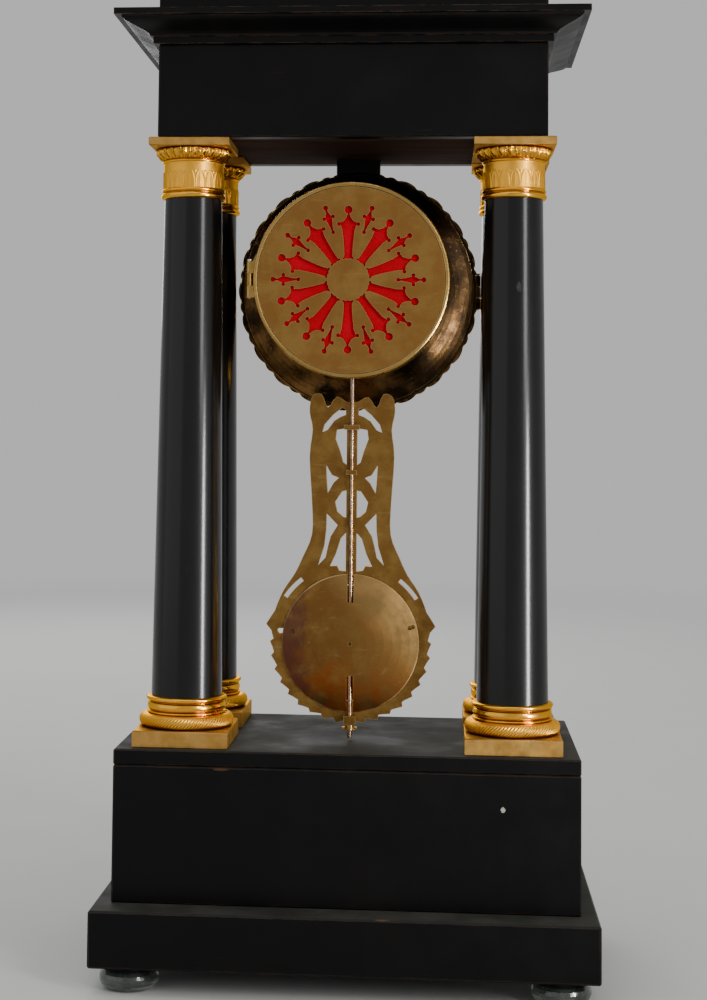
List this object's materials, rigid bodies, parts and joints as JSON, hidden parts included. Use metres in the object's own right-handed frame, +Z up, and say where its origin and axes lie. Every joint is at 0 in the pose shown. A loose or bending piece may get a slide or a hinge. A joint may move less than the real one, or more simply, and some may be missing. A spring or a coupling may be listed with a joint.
{
  "type": "table clock",
  "caption": "Portico table clock: black case on bun feet, gilt-based columns, round drum head with pierced rear door and glazed dial, brass pendulum.",
  "frame": {"origin": "on the table under the middle of the clock", "axes": "+Z up, +Y to the rear with the opening door, -Y to the dial side"},
  "size_m": [0.25, 0.158, 0.5111],
  "materials": {
    "ebonised_wood": "polished black stain, worn brown at the edges",
    "brown_wood": "dark stained, unpolished",
    "gilt_bronze": "fire gilt, matt and burnished",
    "foot_glass": "dark polished glass",
    "steel": "satin",
    "blued_steel": "heat blued",
    "red_silk": "plain weave",
    "glass": "clear",
    "enamel": "fired enamel, glossy",
    "bell_metal": "bright turned",
    "aged_brass": "aged and tarnished",
    "movement_brass": "satin"
  },
  "bodies": {
    "case": {"bun_feet": "foot_glass", "bottom_plinth": "ebonised_wood", "base_long_boards": "ebonised_wood", "base_side_boards": "ebonised_wood", "base_deck": "ebonised_wood", "column_base_front_left": "gilt_bronze", "column_base_front_right": "gilt_bronze", "column_base_rear_left": "gilt_bronze", "column_base_rear_right": "gilt_bronze", "column_shaft_front_left": "ebonised_wood", "column_shaft_front_right": "ebonised_wood", "column_shaft_rear_left": "ebonised_wood", "column_shaft_rear_right": "ebonised_wood", "column_capital_front_left": "gilt_bronze", "column_capital_front_right": "gilt_bronze", "column_capital_rear_left": "gilt_bronze", "column_capital_rear_right": "gilt_bronze", "tie_rods": "steel", "tie_rod_nuts": "steel", "soffit_board": "brown_wood", "frieze_long_boards": "ebonised_wood", "frieze_side_boards": "ebonised_wood", "cornice_moulding": "ebonised_wood", "attic_block": "ebonised_wood", "head_bracket": "ebonised_wood", "drum_case": "aged_brass", "rear_ring": "aged_brass", "hinge_pins": "steel", "dial_back_plate": "aged_brass", "dial": "enamel", "front_plate": "movement_brass", "back_plate": "movement_brass", "plate_pillars": "movement_brass", "bell": "bell_metal", "bell_stand": "movement_brass", "suspension_cock": "movement_brass"},
    "rear_door": {"rear_door_ring": "aged_brass", "rear_door_fret": "aged_brass", "rear_door_silk": "red_silk"},
    "bezel": {"leaf_bezel": "gilt_bronze", "bezel_glass": "glass"},
    "centre": {"centre_arbor": "movement_brass", "minute_hand": "blued_steel"},
    "hour": {"hour_wheel": "movement_brass", "hour_hand": "blued_steel"},
    "minute_gear": {"minute_wheel": "movement_brass"},
    "intermediate": {"intermediate_wheel": "movement_brass"},
    "third": {"third_wheel": "movement_brass"},
    "escape": {"escape_wheel": "movement_brass"},
    "anchor": {"pallet_anchor": "steel"},
    "going_barrel": {"going_barrel": "movement_brass"},
    "strike_barrel": {"strike_barrel": "movement_brass"},
    "going_winder": {"going_arbor": "steel"},
    "strike_winder": {"strike_arbor": "steel"},
    "hammer": {"bell_hammer": "steel"},
    "pendulum": {"suspension_spring": "steel", "pendulum_rod": "steel"},
    "bob": {"pendulum_frame": "aged_brass", "pendulum_bob": "aged_brass"},
    "nut": {"rating_nut": "aged_brass"}
  },
  "joints": [
    {"name": "pendulum_swing", "type": "hinge", "parent": "case", "child": "pendulum", "pos_m": [0, 0.02, 0.38944], "axis": [0, 1, 0], "range_deg": [-4, 4]},
    {"name": "anchor_swing", "type": "hinge", "parent": "case", "child": "anchor", "pos_m": [0, 0.02, 0.38944], "axis": [0, 1, 0], "range_deg": [-4, 4]},
    {"name": "bob_rating", "type": "slide", "parent": "pendulum", "child": "bob", "axis": [0, 0, 1], "range_m": [-0.003, 0.003]},
    {"name": "nut_turn", "type": "hinge", "parent": "bob", "child": "nut", "pos_m": [0, 0.02, 0.1246], "axis": [0, 0, 1], "range_deg": [-2170, 2170]},
    {"name": "rear_door_open", "type": "hinge", "parent": "case", "child": "rear_door", "pos_m": [0.05282, 0.041, 0.35504], "axis": [0, 0, -1], "range_deg": [0, 110]},
    {"name": "bezel_open", "type": "hinge", "parent": "case", "child": "bezel", "pos_m": [-0.06636, -0.0419, 0.35504], "axis": [0, 0, -1], "range_deg": [0, 100]},
    {"name": "minute_turn", "type": "hinge", "parent": "case", "child": "centre", "pos_m": [0, 0, 0.35504], "axis": [0, 1, 0], "continuous": true},
    {"name": "hour_turn", "type": "hinge", "parent": "case", "child": "hour", "pos_m": [0, 0, 0.35504], "axis": [0, 1, 0], "continuous": true},
    {"name": "minute_gear_turn", "type": "hinge", "parent": "case", "child": "minute_gear", "pos_m": [0, 0, 0.34604], "axis": [0, 1, 0], "continuous": true},
    {"name": "intermediate_turn", "type": "hinge", "parent": "case", "child": "intermediate", "pos_m": [0.01341, 0, 0.35854], "axis": [0, 1, 0], "continuous": true},
    {"name": "third_turn", "type": "hinge", "parent": "case", "child": "third", "pos_m": [-0.00986, 0, 0.36424], "axis": [0, 1, 0], "continuous": true},
    {"name": "escape_turn", "type": "hinge", "parent": "case", "child": "escape", "pos_m": [0, 0, 0.372], "axis": [0, 1, 0], "continuous": true},
    {"name": "going_barrel_turn", "type": "hinge", "parent": "case", "child": "going_barrel", "pos_m": [0.01856, 0, 0.34004], "axis": [0, 1, 0], "continuous": true},
    {"name": "strike_barrel_turn", "type": "hinge", "parent": "case", "child": "strike_barrel", "pos_m": [-0.01856, 0, 0.34004], "axis": [0, 1, 0], "continuous": true},
    {"name": "going_winding", "type": "hinge", "parent": "case", "child": "going_winder", "pos_m": [0.01856, 0, 0.34004], "axis": [0, 1, 0], "continuous": true},
    {"name": "strike_winding", "type": "hinge", "parent": "case", "child": "strike_winder", "pos_m": [-0.01856, 0, 0.34004], "axis": [0, 1, 0], "continuous": true},
    {"name": "hammer_swing", "type": "hinge", "parent": "case", "child": "hammer", "pos_m": [-0.03795, 0, 0.36106], "axis": [0, 1, 0], "range_deg": [0, 9]}
  ],
  "couplings": [
    {"joint": "anchor_swing", "follows": "pendulum_swing", "ratio": 1},
    {"joint": "nut_turn", "follows": "bob_rating", "rad_per_m": 12566},
    {"joint": "hour_turn", "follows": "minute_turn", "ratio": 0.083333},
    {"joint": "minute_gear_turn", "follows": "minute_turn", "ratio": -0.33333},
    {"joint": "intermediate_turn", "follows": "minute_turn", "ratio": -0.16667},
    {"joint": "third_turn", "follows": "minute_turn", "ratio": -12},
    {"joint": "escape_turn", "follows": "minute_turn", "ratio": 133.71},
    {"joint": "going_barrel_turn", "follows": "minute_turn", "ratio": 0.02381}
  ]
}
